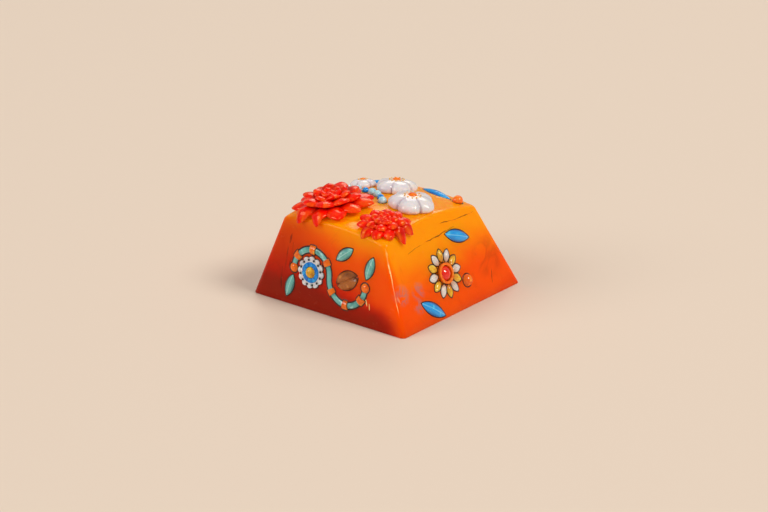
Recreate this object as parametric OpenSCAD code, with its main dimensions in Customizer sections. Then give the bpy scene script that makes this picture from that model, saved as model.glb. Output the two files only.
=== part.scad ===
// One-unit resin keycap with a hollow underside, a cross-socket stem and bonded flower inlays.
// X runs to the right, Y to the back, Z up. The origin is the middle of the base rim.

/* [Cap body] */
// Width of the base, left to right
base_w = 18; // [17.6:0.1:18.6]
// Depth of the base, front to back
base_d = 18; // [17.6:0.1:18.6]
// Height of the top face at its corners
corner_h = 7.9; // [7.6:0.1:8.6]
// How far each side wall leans in over that height
side_inset = 3.0; // [2.8:0.1:3.1]
// How far the front wall leans in
front_inset = 1.0; // [0.8:0.1:1.2]
// How far the back wall leans in
back_inset = 3.3; // [3.1:0.1:3.4]
// Rise of the crowned top above its corners
crown_rise = 1.3; // [1.0:0.1:1.5]
// Radius of the upright corners at the base
base_corner_r = 0.5; // [0.45:0.05:0.8]
// Radius of the upright corners at the top
top_corner_r = 0.45; // [0.4:0.05:0.7]
// Size of the blend between the walls and the top
edge_r = 0.3; // [0.2:0.05:0.35]

/* [Underside] */
// Thickness of the skirt at the rim
skirt_t = 1.4; // [1.2:0.05:1.6]
// Depth of the hollow
hollow_depth = 5.4; // [5.2:0.1:5.6]
// Radius of the hollow's corners
hollow_r = 0.8; // [0.6:0.05:1.0]
// Diameter of the stem
stem_d = 5.5; // [5.4:0.05:5.6]
// How far the stem stops short of the rim
stem_recess = 0.5; // [0.3:0.05:0.7]
// Length of each arm of the cross socket
cross_len = 4.1; // [4.05:0.01:4.2]
// Width of the arm that runs left to right
cross_w = 1.17; // [1.12:0.01:1.22]
// Width of the arm that runs front to back
cross_v = 1.3; // [1.25:0.01:1.35]
// Depth of the cross socket
cross_depth = 3.9; // [3.6:0.1:4.2]
// Chamfer at the socket's mouth
cross_lead = 0.2; // [0.1:0.05:0.25]
// Flare where the stem meets the roof
stem_flare = 0.6; // [0.4:0.1:0.8]

/* [Bonding] */
// Bond line left round each inlay
bond = 0.02; // [0.01:0.01:0.04]
// Depth of the seats that hold the inlays
seat_depth = 0.45; // [0.3:0.05:0.5]

/* [Red blooms] */
// Reach of the large bloom
large_r = 3.9; // [3.8:0.05:3.95]
// Reach of the small bloom
small_r = 2.6; // [2.5:0.05:2.65]
// Width of a petal as a share of the bloom's reach
petal_w = 0.4; // [0.36:0.01:0.42]
// Thickness of a petal
petal_t = 0.72; // [0.65:0.01:0.76]
// How steeply the petals fall where they pass the edge of the top
droop = 1.4; // [1.2:0.1:1.6]
// Large bloom's centre in from the left edge of the top
large_in = 3.4; // [3.3:0.1:3.6]
// Large bloom's centre back from the front edge of the top
large_back = 3.2; // [3.1:0.1:3.3]
// Direction from the large bloom to the small one
small_towards = -7; // [-9:1:-5]

/* [White blossoms] */
// Radius of the large white blossom
white_l_r = 2.2; // [2.1:0.05:2.25]
// Radius of the middle white blossom
white_m_r = 2.0; // [1.9:0.05:2.05]
// Radius of the small white blossom
white_s_r = 1.3; // [1.2:0.05:1.35]
// Height of a blossom as a share of its radius
white_rise = 0.52; // [0.46:0.01:0.56]
// Radius of a blossom's orange eye as a share of the blossom
eye_share = 0.24; // [0.2:0.01:0.26]
// Room between neighbours on the top
spacing = 0.2; // [0.16:0.01:0.24]

/* [Beads and leaves] */
// Radius of the beads in the string
bead_r = 0.4; // [0.36:0.01:0.42]
// Radius of the amber bead at the back
amber_r = 0.5; // [0.4:0.05:0.5]
// Length of the long blue leaf
leaf_long = 4.4; // [4.2:0.1:4.6]
// Length of the short blue leaf
leaf_short = 3.6; // [3.4:0.1:3.8]
// Width of a blue leaf
leaf_w = 1.05; // [0.95:0.05:1.1]
// Height of a leaf above its bed
leaf_t = 0.3; // [0.25:0.01:0.35]

/* [Front wall vine] */
// Radius of the vine's bends
bend_r = 2.1; // [2.05:0.05:2.2]
// Radius of the vine's round top
vine_r = 0.4; // [0.36:0.01:0.42]
// Height of the vine's middle line up the wall
vine_h = 3.6; // [3.5:0.1:3.8]
// Thickness of the orange bands round the vine
band_t = 0.13; // [0.1:0.01:0.15]
// Width of a band
band_w = 0.55; // [0.45:0.05:0.6]
// Room left round the blue aster under the arch
aster_room = 0.08; // [0.06:0.01:0.12]
// Radius of an orange berry
berry_r = 0.55; // [0.5:0.01:0.58]
// Room left past each end of the brown pod
pod_room = 0.22; // [0.18:0.01:0.3]
// Width of the brown pod
pod_w = 1.7; // [1.6:0.05:1.8]

/* [Side wall daisy] */
// Radius of the daisy
daisy_r = 2.3; // [2.2:0.05:2.4]
// Height of the daisy's centre up the wall
daisy_h = 3.9; // [3.8:0.05:4.1]
// Daisy's centre in front of the middle of the wall
daisy_front = 1.2; // [1.0:0.1:1.4]
// Radius of the red button
button_r = 0.72; // [0.68:0.01:0.76]
// Length of a side leaf
side_leaf = 3.4; // [3.2:0.1:3.6]

/* [Hidden] */

$fn = 48;
eps = 0.01;

// Walls and top of the cap
side_slope = side_inset / corner_h;
front_slope = front_inset / corner_h;
back_slope = back_inset / corner_h;
top_half_w = base_w / 2 - side_inset;
top_front = -base_d / 2 + front_inset;
top_back = base_d / 2 - back_inset;
top_mid = (top_front + top_back) / 2;
top_half_d = (top_back - top_front) / 2;
corner_reach = norm([top_half_w, top_half_d]);
crown_r = (corner_reach * corner_reach + crown_rise * crown_rise) / (2 * crown_rise);
crown_top = corner_h + crown_rise;

function half_w(z) = base_w / 2 - side_slope * z;
function front_y(z) = -base_d / 2 + front_slope * z;
function back_y(z) = base_d / 2 - back_slope * z;
function corner_r(z) = base_corner_r + (top_corner_r - base_corner_r) * z / corner_h;
function crown_z(x, y) = crown_top - crown_r + sqrt(crown_r * crown_r - x * x - (y - top_mid) * (y - top_mid));
function lerp(a, b, t) = a + (b - a) * t;

// One point of the outline at height z, drawn in by inset: each corner's arc, then its straight edge
arc_steps = 5;
edge_steps = 4;
per_corner = arc_steps + edge_steps;
rim_count = 4 * per_corner;
function corner_point(c, angle, z, inset) =
    let (r = corner_r(z) - inset,
         x = (c == 0 || c == 3 ? 1 : -1) * (half_w(z) - inset - r),
         y = c < 2 ? back_y(z) - inset - r : front_y(z) + inset + r)
    [x + r * cos(angle), y + r * sin(angle)];
function rim_point(k, z, inset) =
    let (c = floor(k / per_corner), i = k % per_corner)
    i <= arc_steps
        ? corner_point(c, 90 * (c + i / arc_steps), z, inset)
        : lerp(corner_point(c, 90 * (c + 1), z, inset),
               corner_point((c + 1) % 4, 90 * (c + 1), z, inset),
               (i - arc_steps) / edge_steps);

// Height at which the wall line k meets the crown, found in three steps
function meet(k, z, n) =
    n == 0 ? z : let (p = rim_point(k, z, 0)) meet(k, crown_z(p[0], p[1]), n - 1);

// Blend from wall to top as a quadratic curve through the sharp edge
blend_steps = 4;
crown_rings = [0.74, 0.46, 0.2];
function blend_point(k, t, grow) =
    let (z = meet(k, corner_h, 3),
         wall = rim_point(k, z - edge_r, -grow),
         edge = rim_point(k, z, -grow),
         inner = rim_point(k, z, edge_r),
         a = [wall[0], wall[1], z - edge_r],
         b = [edge[0], edge[1], z + grow],
         c = [inner[0], inner[1], crown_z(inner[0], inner[1]) + grow])
    a * (1 - t) * (1 - t) + b * 2 * t * (1 - t) + c * t * t;
function crown_point(k, share, grow) =
    let (p = rim_point(k, meet(k, corner_h, 3), edge_r),
         x = p[0] * share,
         y = top_mid + (p[1] - top_mid) * share)
    [x, y, crown_z(x, y) + grow];

// Closed skin through rings of equal count, between a first and a last pole
function skin_faces(rings, n) = concat(
    [for (k = [0 : n - 1])
        [k, (k + 1) % n, rings * n]],
    [for (j = [0 : rings - 2], k = [0 : n - 1])
        [j * n + k, (j + 1) * n + k, (j + 1) * n + (k + 1) % n]],
    [for (j = [0 : rings - 2], k = [0 : n - 1])
        [j * n + k, (j + 1) * n + (k + 1) % n, j * n + (k + 1) % n]],
    [for (k = [0 : n - 1])
        [(rings - 1) * n + k, rings * n + 1, (rings - 1) * n + (k + 1) % n]]);

// Outer form of the cap, grown by a bond line and let down below the rim when it cuts inlays
module outer_form(grow = 0, below = 0) {
    rings = 2 + blend_steps + len(crown_rings);
    points = concat(
        [for (k = [0 : rim_count - 1]) let (p = rim_point(k, -below, -grow)) [p[0], p[1], -below]],
        [for (j = [0 : blend_steps], k = [0 : rim_count - 1]) blend_point(k, j / blend_steps, grow)],
        [for (s = crown_rings, k = [0 : rim_count - 1]) crown_point(k, s, grow)],
        [[0, top_mid, -below], [0, top_mid, crown_top + grow]]);
    polyhedron(points, skin_faces(rings, rim_count));
}

// Hollow of the skirt, with rounded upper corners
module hollow() {
    lift = hollow_depth - hollow_r;
    hull() {
        for (sx = [-1, 1], y = [front_y(0) + skirt_t + hollow_r, back_y(0) - skirt_t - hollow_r])
            translate([sx * (half_w(0) - skirt_t - hollow_r), y, -eps])
                cylinder(h = eps, r = hollow_r, $fn = 24);
        for (sx = [-1, 1], y = [front_y(lift) + skirt_t + hollow_r, back_y(lift) - skirt_t - hollow_r])
            translate([sx * (half_w(lift) - skirt_t - hollow_r), y, lift])
                sphere(r = hollow_r, $fn = 24);
    }
}

// Stem with its flare at the roof
module stem() {
    translate([0, 0, stem_recess])
        cylinder(h = hollow_depth + 0.4 - stem_recess, d = stem_d);
    translate([0, 0, hollow_depth - stem_flare])
        cylinder(h = stem_flare + 0.4, r1 = stem_d / 2, r2 = stem_d / 2 + stem_flare + 0.4);
}

// One arm of the cross socket, with its lead-in
module socket_arm(l, w) {
    translate([-l / 2, -w / 2, stem_recess - 1])
        cube([l, w, cross_depth + 1]);
    hull() {
        translate([-l / 2 - cross_lead, -w / 2 - cross_lead, stem_recess - eps])
            cube([l + 2 * cross_lead, w + 2 * cross_lead, eps]);
        translate([-l / 2, -w / 2, stem_recess + cross_lead])
            cube([l, w, eps]);
    }
}

// Frames on the crown and on the walls: local Z is the outward normal
module on_crown(p) {
    dx = p[0];
    dy = p[1] - top_mid;
    reach = norm([dx, dy]);
    translate([p[0], p[1], crown_z(p[0], p[1])])
        rotate(a = asin(reach / crown_r), v = reach > 0 ? [-dy, dx, 0] : [0, 0, 1])
            children();
}
module on_front(u, v) {
    translate([0, -base_d / 2, 0])
        rotate([90 - atan(front_slope), 0, 0])
            translate([u, v, 0])
                children();
}
module on_side(u, v) {
    translate([base_w / 2, 0, 0])
        rotate([90 - atan(side_slope), 0, 90])
            translate([u, v, 0])
                children();
}

cap_colour = [0.93, 0.36, 0.04];
red = [0.86, 0.06, 0.03];
white = [0.93, 0.9, 0.88];
orange = [0.95, 0.38, 0.08];
blue = [0.02, 0.5, 0.85];
pale_blue = [0.62, 0.86, 0.95];
teal = [0.36, 0.74, 0.72];
yellow = [0.95, 0.72, 0.12];
brown = [0.62, 0.29, 0.06];
black = [0.03, 0.03, 0.05];

// Places on the top: the large bloom from the edges, the rest clear of their neighbours
function off(p, r, angle) = [p[0] + r * cos(angle), p[1] + r * sin(angle)];
large_at = [-top_half_w + large_in, top_front + large_back];
small_at = off(large_at, large_r + spacing + small_r, small_towards);
string_r = large_r + spacing + bead_r;
white_l_at = off(small_at, small_r + spacing + white_l_r, 99);
white_m_at = off(large_at, string_r + bead_r + spacing + white_m_r, 74);
white_s_at = off(large_at, string_r + bead_r + spacing + white_s_r, 104);
large_turn = 8;
small_turn = 14;

// Petals, each a loft of oval sections along an arched line
petal_stations = [0, 0.3, 0.64, 0.88];
petal_widths = [0.5, 0.9, 1, 0.8];
petal_depths = [0.7, 1, 0.9, 0.6];
section_count = 6;
function petal_line(t, l, tilt, sag, fall) =
    [l * t * cos(tilt), 0, l * t * sin(tilt) - sag * t * t - fall];
function petal_slope(t, l, tilt, sag) = atan2(l * sin(tilt) - 2 * sag * t, l * cos(tilt));
module petal(l, w, thick, tilt, sag, falls) {
    rings = len(petal_stations);
    points = concat(
        [for (j = [0 : rings - 1], k = [0 : section_count - 1])
            let (t = petal_stations[j],
                 slope = petal_slope(t, l, tilt, sag),
                 a = 360 * k / section_count,
                 y = cos(a) * w / 2 * petal_widths[j],
                 n = sin(a) * thick / 2 * petal_depths[j])
            petal_line(t, l, tilt, sag, falls[j]) + [-n * sin(slope), y, n * cos(slope)]],
        [petal_line(0, l, tilt, sag, falls[0]), petal_line(1, l, tilt, sag, falls[rings])]);
    polyhedron(points, skin_faces(rings, section_count));
}

// How far a place lies past the edge of the top
function past_edge(p) = max(0, abs(p[0]) - top_half_w, abs(p[1] - top_mid) - top_half_d);

// Rings of a bloom, outermost first: petals, start, length, tilt, sag and lift.
// All but the count and the tilt are shares of the bloom's reach.
bloom_rings = [
    [11, 0.2, 0.8, 4, 0.1, 0.09],
    [8, 0.14, 0.6, 22, 0.1, 0.13],
    [6, 0.08, 0.42, 40, 0.06, 0.15]
];
uneven = [0, 0.7, -0.5, 0.35, -0.8];
floret_count = 6;
function root_r(reach) = reach * 0.4;
module bloom_root(p, reach, grow = 0) {
    on_crown(p)
        translate([0, 0, -seat_depth])
            cylinder(h = 2 * seat_depth, r = root_r(reach) + grow);
}
module bloom(p, reach, turn) {
    on_crown(p) {
        for (ring = bloom_rings, i = [0 : ring[0] - 1]) {
            angle = turn + 360 * (i + ring[1] * 2) / ring[0] + 4 * uneven[i % 5];
            falls = [for (t = concat(petal_stations, 1))
                droop * past_edge(off(p, (ring[1] + ring[2] * t) * reach, angle))];
            rotate([0, 0, angle])
                translate([ring[1] * reach, 0, (ring[5] + 0.02 * uneven[(i + 2) % 5]) * reach])
                    petal(ring[2] * reach, petal_w * reach, petal_t, ring[3], ring[4] * reach, falls);
        }
        for (i = [0 : floret_count]) {
            outer = i < floret_count;
            rotate([0, 0, i * 360 / floret_count])
                translate([outer ? reach * 0.12 : 0, 0, reach * (outer ? 0.2 : 0.23)])
                    cylinder(h = reach * 0.12, r1 = reach * 0.045, r2 = reach * 0.03, $fn = 8);
        }
        cylinder(h = reach * 0.24, r = root_r(reach) / 2, $fn = 24);
    }
}
// Bloom trimmed to the cap's skin, with its root left whole
module seated_bloom(p, reach, turn) {
    difference() {
        bloom(p, reach, turn);
        outer_form(bond, 1);
    }
    bloom_root(p, reach);
}

module large_red_bloom() {
    color(red)
        seated_bloom(large_at, large_r, large_turn);
}
module small_red_bloom() {
    color(red)
        seated_bloom(small_at, small_r, small_turn);
}

// White blossoms: domes with five lobes and a seat for the eye
lobe_count = 5;
lobe_cut = 0.22;
dome_rings = [[0.9, 0], [1, 0.26], [0.93, 0.58], [0.74, 0.84], [0.44, 0.97]];
dome_count = 50;
function crease(a) = 1 - pow(abs(cos(a * lobe_count / 2)), 0.6);
module blossom_dome(r, h) {
    points = concat(
        [for (ring = dome_rings, k = [0 : dome_count - 1])
            let (a = 360 * k / dome_count,
                 cut = 1 - lobe_cut * crease(a) * ring[0] * ring[0],
                 reach = r * ring[0] * cut)
            [reach * cos(a), reach * sin(a), h * ring[1] * cut]],
        [[0, 0, 0], [0, 0, h]]);
    polyhedron(points, skin_faces(len(dome_rings), dome_count));
}
module blossom_root(p, r, grow = 0) {
    on_crown(p)
        translate([0, 0, -seat_depth])
            cylinder(h = seat_depth + 0.1, r = r * 0.62 + grow);
}
module blossom_eye(p, r, grow = 0) {
    on_crown(p)
        translate([0, 0, r * (white_rise - 0.6 * eye_share)])
            sphere(r = r * eye_share + grow, $fn = 24);
}
module white_blossom(p, r, turn) {
    color(white)
        difference() {
            union() {
                on_crown(p)
                    rotate([0, 0, turn])
                        blossom_dome(r, r * white_rise);
                blossom_root(p, r);
            }
            blossom_eye(p, r, bond);
        }
}
module large_white_blossom() { white_blossom(white_l_at, white_l_r, 10); }
module middle_white_blossom() { white_blossom(white_m_at, white_m_r, 40); }
module small_white_blossom() { white_blossom(white_s_at, white_s_r, 25); }
module large_blossom_eye() { color(orange) blossom_eye(white_l_at, white_l_r); }
module middle_blossom_eye() { color(orange) blossom_eye(white_m_at, white_m_r); }
module small_blossom_eye() { color(orange) blossom_eye(white_s_at, white_s_r); }

// String of beads behind the large bloom: every third bead is blue and smaller
string_from = 42;
string_to = 128;
bead_pitch = 2 * bead_r + 0.1;
bead_turn = 2 * asin(bead_pitch / 2 / string_r);
bead_count = floor((string_to - string_from) / bead_turn) + 1;
blue_bead_r = bead_r * 0.8;
function is_blue(i) = i % 3 == 1;
module bead(p, r, grow = 0) {
    on_crown(p)
        translate([0, 0, r * 0.3])
            sphere(r = r + grow, $fn = 20);
}
module beads(blue_ones, grow = 0) {
    for (i = [0 : bead_count - 1])
        if (is_blue(i) == blue_ones)
            bead(off(large_at, string_r, string_from + i * bead_turn), blue_ones ? blue_bead_r : bead_r, grow);
}
module pale_beads() { color(pale_blue) beads(false); }
module blue_beads() { color(blue) beads(true); }

// Leaf: a lens outline whose top is arched both ways, and the seat that takes it
function arc_r(chord, rise) = (chord * chord / 4 + rise * rise) / (2 * rise);
module lens(l, w) {
    r = arc_r(l, w / 2);
    intersection() {
        translate([0, r - w / 2]) circle(r = r, $fn = 96);
        translate([0, w / 2 - r]) circle(r = r, $fn = 96);
    }
}
module leaf_seat(l, w, grow = bond) {
    translate([0, 0, -seat_depth])
        linear_extrude(height = seat_depth + 1)
            lens(l + 4 * grow, w + 2 * grow);
}
module leaf(l, w, rise) {
    across = arc_r(w, rise);
    along = arc_r(l, rise);
    intersection() {
        leaf_seat(l, w, 0);
        translate([-l, 0, rise - across])
            rotate([0, 90, 0])
                cylinder(h = 2 * l, r = across);
        translate([0, w, rise - along])
            rotate([90, 0, 0])
                cylinder(h = 2 * w, r = along, $fn = 96);
    }
}
long_leaf_at = off(white_s_at, white_s_r + leaf_w + 2 * spacing, 70);
short_leaf_at = off(white_m_at, white_m_r + leaf_short / 2, 41);
module at_long_leaf() {
    on_crown(long_leaf_at)
        rotate([0, 0, 18])
            children();
}
module at_short_leaf() {
    on_crown(short_leaf_at)
        rotate([0, 0, -6])
            children();
}
module long_blue_leaf() { color(blue) at_long_leaf() leaf(leaf_long, leaf_w, leaf_t); }
module short_blue_leaf() { color(blue) at_short_leaf() leaf(leaf_short, leaf_w, leaf_t); }

// Amber bead off the short leaf's tip
amber_at = off(short_leaf_at, leaf_short / 2 + spacing + amber_r, -2);
module amber_bead() { color(orange) bead(amber_at, amber_r); }

// Vine on the front wall: an arch on the left that runs on into a bowl on the right
vine_sink = vine_r * 0.75;
band_turn = 2 * asin(band_w / 2 / bend_r);
band_angles = [36, 90, 144];
module at_bend(side) {
    on_front(side * bend_r, vine_h)
        rotate([0, 0, side < 0 ? 0 : 180])
            children();
}
module vine_run(grow = 0) {
    for (side = [-1, 1])
        at_bend(side)
            rotate_extrude(angle = 180)
                translate([bend_r, -vine_sink])
                    circle(r = vine_r + grow, $fn = 20);
}
module band_run(inner, grow = 0) {
    for (side = [-1, 1], a = band_angles)
        at_bend(side)
            rotate([0, 0, a - (band_turn + grow * 30) / 2])
                rotate_extrude(angle = band_turn + grow * 30)
                    translate([bend_r, -vine_sink])
                        difference() {
                            circle(r = vine_r + band_t + grow, $fn = 20);
                            if (inner > 0) circle(r = inner, $fn = 20);
                        }
}
module berry_run(grow = 0) {
    for (side = [-1, 1])
        on_front(side * 2 * bend_r, vine_h)
            translate([0, 0, -vine_sink])
                sphere(r = berry_r + grow, $fn = 24);
}
module vine() {
    color(teal)
        difference() {
            vine_run();
            berry_run(bond);
        }
}
module vine_bands() { color(orange) band_run(vine_r + bond); }
module vine_berries() { color(orange) berry_run(); }

// Pod lying in the bowl, with a groove down its back
bowl_r = bend_r - vine_r - band_t;
pod_len = 2 * (bowl_r - pod_room);
pod_rise = 0.2;
module at_pod() {
    on_front(bend_r, vine_h + pod_room)
        rotate([0, 0, 28])
            children();
}
module brown_pod() {
    along = arc_r(pod_len, pod_rise);
    color(brown)
        at_pod()
            difference() {
                leaf(pod_len, pod_w, pod_rise);
                translate([0, 0, pod_rise - along])
                    rotate([90, 0, 0])
                        rotate_extrude($fn = 96)
                            translate([along, 0])
                                circle(r = 0.09, $fn = 8);
            }
}

// Leaves that grow off the vine: place along the wall, height and turn
vine_leaf_len = 2.3;
vine_leaf_w = 0.95;
vine_leaf_rise = 0.2;
vine_leaf_places = [
    [0.75 * bend_r, vine_h + bend_r + 0.45, 38],
    [2 * bend_r + 0.35, vine_h + berry_r + vine_leaf_len / 2 + 0.2, 74],
    [-2 * bend_r - 0.35, vine_h - berry_r - vine_leaf_len / 2 - 0.1, 74]
];
module at_vine_leaves() {
    for (place = vine_leaf_places)
        on_front(place[0], place[1])
            rotate([0, 0, place[2]])
                children();
}
module vine_leaves() { color(teal) at_vine_leaves() leaf(vine_leaf_len, vine_leaf_w, vine_leaf_rise); }

// Aster under the arch: scalloped rim, blue ring, domed eye and a circle of seeds
aster_r = bend_r - vine_r - band_t - aster_room;
scallop_count = 12;
scallop_r = aster_r * sin(180 / scallop_count) / (1 + sin(180 / scallop_count)) * 1.04;
aster_ring_r = aster_r * 0.64;
aster_eye_r = aster_r * 0.36;
aster_rise = 0.16;
seed_r = 0.1;
module at_aster() {
    on_front(-bend_r, vine_h)
        children();
}
module aster_outline(grow) {
    for (i = [0 : scallop_count - 1])
        rotate(360 * i / scallop_count)
            translate([aster_r - scallop_r, 0])
                circle(r = scallop_r + grow, $fn = 20);
    circle(r = aster_r - scallop_r + grow);
}
module at_seeds() {
    for (i = [0 : scallop_count - 1])
        at_aster()
            rotate([0, 0, 360 * (i + 0.5) / scallop_count])
                translate([(aster_r + aster_ring_r) / 2 - 0.04, 0, aster_rise])
                    children();
}
module aster_rim() {
    color(white)
        difference() {
            at_aster()
                translate([0, 0, -seat_depth])
                    linear_extrude(height = seat_depth + aster_rise)
                        difference() {
                            aster_outline(0);
                            circle(r = aster_ring_r + bond);
                        }
            at_seeds()
                translate([0, 0, -seed_r - bond])
                    cylinder(h = 1, r = seed_r + bond, $fn = 16);
        }
}
module aster_ring() {
    color(blue)
        at_aster()
            difference() {
                translate([0, 0, -seat_depth])
                    cylinder(h = seat_depth + aster_rise + 0.06, r = aster_ring_r);
                translate([0, 0, -seat_depth - eps])
                    cylinder(h = seat_depth + 1, r = aster_eye_r + bond);
                for (i = [0 : 9])
                    rotate([0, 0, 36 * i])
                        translate([aster_eye_r, 0, aster_rise + 0.09])
                            rotate([0, 90, 0])
                                cylinder(h = aster_r, r = 0.08, $fn = 12);
            }
}
module aster_eye() {
    color(yellow)
        at_aster() {
            translate([0, 0, -seat_depth])
                cylinder(h = seat_depth + aster_rise, r = aster_eye_r);
            translate([0, 0, aster_rise - aster_eye_r * 0.4])
                intersection() {
                    sphere(r = aster_eye_r * 1.077, $fn = 32);
                    translate([0, 0, aster_eye_r * 0.4])
                        cylinder(h = aster_eye_r, r = aster_eye_r);
                }
        }
}
module aster_seeds() { color(black) at_seeds() sphere(r = seed_r, $fn = 16); }

// Daisy on the right wall: petals of two colours in turn, a collar and a domed button
ray_count = 12;
collar_r = button_r + 0.26;
ray_len = daisy_r - collar_r - bond * 2;
ray_mid = collar_r + bond * 2 + ray_len / 2;
ray_w = 2 * PI * ray_mid / ray_count * 0.86;
ray_rise = 0.2;
module at_daisy() {
    on_side(-daisy_front, daisy_h)
        children();
}
module at_rays(first) {
    for (i = [first : 2 : ray_count - 1])
        at_daisy()
            rotate([0, 0, 360 * i / ray_count])
                translate([ray_mid, 0, 0])
                    children();
}
module daisy_white_petals() { color(white) at_rays(0) leaf(ray_len, ray_w, ray_rise); }
module daisy_yellow_petals() { color(yellow) at_rays(1) leaf(ray_len, ray_w, ray_rise); }
module daisy_collar() {
    color(orange)
        at_daisy()
            difference() {
                translate([0, 0, -seat_depth])
                    cylinder(h = seat_depth + 0.24, r = collar_r);
                translate([0, 0, -seat_depth - eps])
                    cylinder(h = seat_depth + 1, r = button_r + bond);
            }
}
button_rise = 0.42;
module daisy_button() {
    round_r = arc_r(2 * button_r, button_rise);
    color(red)
        at_daisy()
            intersection() {
                translate([0, 0, -seat_depth])
                    cylinder(h = seat_depth + 1, r = button_r);
                translate([0, 0, button_rise - round_r])
                    sphere(r = round_r);
            }
}

// Blue leaves and a bud beside the daisy
side_leaf_w = 1.15;
side_leaf_rise = 0.24;
side_leaf_out = daisy_r + side_leaf / 2 + spacing / 2;
module at_side_leaves() {
    for (a = [42, 222])
        at_daisy()
            rotate([0, 0, a])
                translate([side_leaf_out * (a < 90 ? 1 : 0.94), 0, 0])
                    rotate([0, 0, a < 90 ? -62 : -78])
                        children();
}
module side_leaves() { color(blue) at_side_leaves() leaf(side_leaf, side_leaf_w, side_leaf_rise); }
bud_r = 0.62;
module side_bud_run(grow = 0) {
    at_daisy()
        rotate([0, 0, -28])
            translate([daisy_r + bud_r + spacing, 0, -0.15])
                sphere(r = bud_r + grow, $fn = 24);
}
module side_bud() { color(orange) side_bud_run(); }

// Everything that is cut into the cap to seat the inlays
module seats() {
    bloom_root(large_at, large_r, bond);
    bloom_root(small_at, small_r, bond);
    blossom_root(white_l_at, white_l_r, bond);
    blossom_root(white_m_at, white_m_r, bond);
    blossom_root(white_s_at, white_s_r, bond);
    beads(false, bond);
    beads(true, bond);
    bead(amber_at, amber_r, bond);
    at_long_leaf() leaf_seat(leaf_long, leaf_w);
    at_short_leaf() leaf_seat(leaf_short, leaf_w);
    vine_run(bond);
    band_run(0, bond);
    berry_run(bond);
    at_pod() leaf_seat(pod_len, pod_w);
    at_vine_leaves() leaf_seat(vine_leaf_len, vine_leaf_w);
    at_aster()
        translate([0, 0, -seat_depth])
            linear_extrude(height = seat_depth + 1)
                aster_outline(bond);
    at_rays(0) leaf_seat(ray_len, ray_w);
    at_rays(1) leaf_seat(ray_len, ray_w);
    at_daisy()
        translate([0, 0, -seat_depth])
            cylinder(h = seat_depth + 1, r = collar_r + bond);
    at_side_leaves() leaf_seat(side_leaf, side_leaf_w);
    side_bud_run(bond);
}

module cap_body() {
    color(cap_colour)
        difference() {
            union() {
                difference() {
                    outer_form();
                    hollow();
                }
                stem();
            }
            socket_arm(cross_len, cross_w);
            rotate([0, 0, 90])
                socket_arm(cross_len, cross_v);
            seats();
        }
}

cap_body();
large_red_bloom();
small_red_bloom();
large_white_blossom();
middle_white_blossom();
small_white_blossom();
large_blossom_eye();
middle_blossom_eye();
small_blossom_eye();
pale_beads();
blue_beads();
amber_bead();
long_blue_leaf();
short_blue_leaf();
vine();
vine_bands();
vine_berries();
brown_pod();
vine_leaves();
aster_rim();
aster_ring();
aster_eye();
aster_seeds();
daisy_white_petals();
daisy_yellow_petals();
daisy_collar();
daisy_button();
side_leaves();
side_bud();
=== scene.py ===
import math

import bmesh
import bpy
from mathutils import Matrix, Vector


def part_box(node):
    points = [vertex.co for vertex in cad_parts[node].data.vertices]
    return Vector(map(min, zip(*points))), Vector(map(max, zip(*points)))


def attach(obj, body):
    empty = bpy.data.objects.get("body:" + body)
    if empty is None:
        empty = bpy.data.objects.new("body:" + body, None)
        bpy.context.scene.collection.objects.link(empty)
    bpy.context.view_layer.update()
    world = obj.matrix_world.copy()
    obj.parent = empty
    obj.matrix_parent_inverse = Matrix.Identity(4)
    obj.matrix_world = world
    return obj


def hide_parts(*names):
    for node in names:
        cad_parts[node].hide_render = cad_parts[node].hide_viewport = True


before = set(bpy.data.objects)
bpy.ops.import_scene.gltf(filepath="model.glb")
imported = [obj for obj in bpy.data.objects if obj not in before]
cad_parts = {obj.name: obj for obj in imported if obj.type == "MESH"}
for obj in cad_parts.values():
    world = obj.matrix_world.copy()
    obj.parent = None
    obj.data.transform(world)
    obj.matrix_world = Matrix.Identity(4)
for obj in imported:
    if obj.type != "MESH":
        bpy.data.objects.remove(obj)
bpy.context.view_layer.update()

# The stage: a plain pale floor under soft lamps, seen from the photograph's angle.
# The camera's place comes from the cap's base and top corners in the photograph.
mm = 0.001
camera_place = Vector((112.63, -142.202, 72.18)) * mm
camera_aim = Vector((-0.453, 0.0, 3.045)) * mm
camera_lens = 96.928
camera_sensor = 36
camera_near = 5 * mm
camera_roll = math.radians(0.277)
floor_half = 8.0
floor_colour = (0.78, 0.66, 0.555)
room_colour = (1.0, 0.97, 0.93)
room_strength = 0.34
# Each lamp's place, the height it aims at, its size, its power and its colour.
lamps = {
    "key_lamp": ((2.04, 0.36, 2.04), 5 * mm, 1.08, 47.5, (1.0, 0.94, 0.86)),
    "fill_lamp": ((-1.32, -2.16, 1.44), 5 * mm, 1.56, 34.2, (1.0, 0.96, 0.92)),
    "back_lamp": ((-1.20, 2.04, 1.92), 8 * mm, 1.44, 17.5, (1.0, 0.93, 0.84)),
}


def add_object(name, data):
    thing = bpy.data.objects.new(name, data)
    bpy.context.scene.collection.objects.link(thing)
    return thing


def point_at(thing, place, aim, roll=0.0):
    """Stands a camera or a lamp at its place and turns it towards its aim."""
    turn = (Vector(aim) - Vector(place)).to_track_quat("-Z", "Y")
    thing.rotation_mode = "QUATERNION"
    thing.location = place
    thing.rotation_quaternion = turn @ Matrix.Rotation(roll, 3, "Z").to_quaternion()


def feed(node, **values):
    """Links or sets a node's inputs by name, or by number as _0 and on. A colour has three numbers."""
    for key, value in values.items():
        socket = node.inputs[int(key[1:]) if key[0] == "_" else key.replace("_", " ")]
        if isinstance(value, bpy.types.NodeSocket):
            node.id_data.links.new(value, socket)
        elif socket.type == "RGBA":
            socket.default_value = (*value, 1)
        else:
            socket.default_value = value


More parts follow.
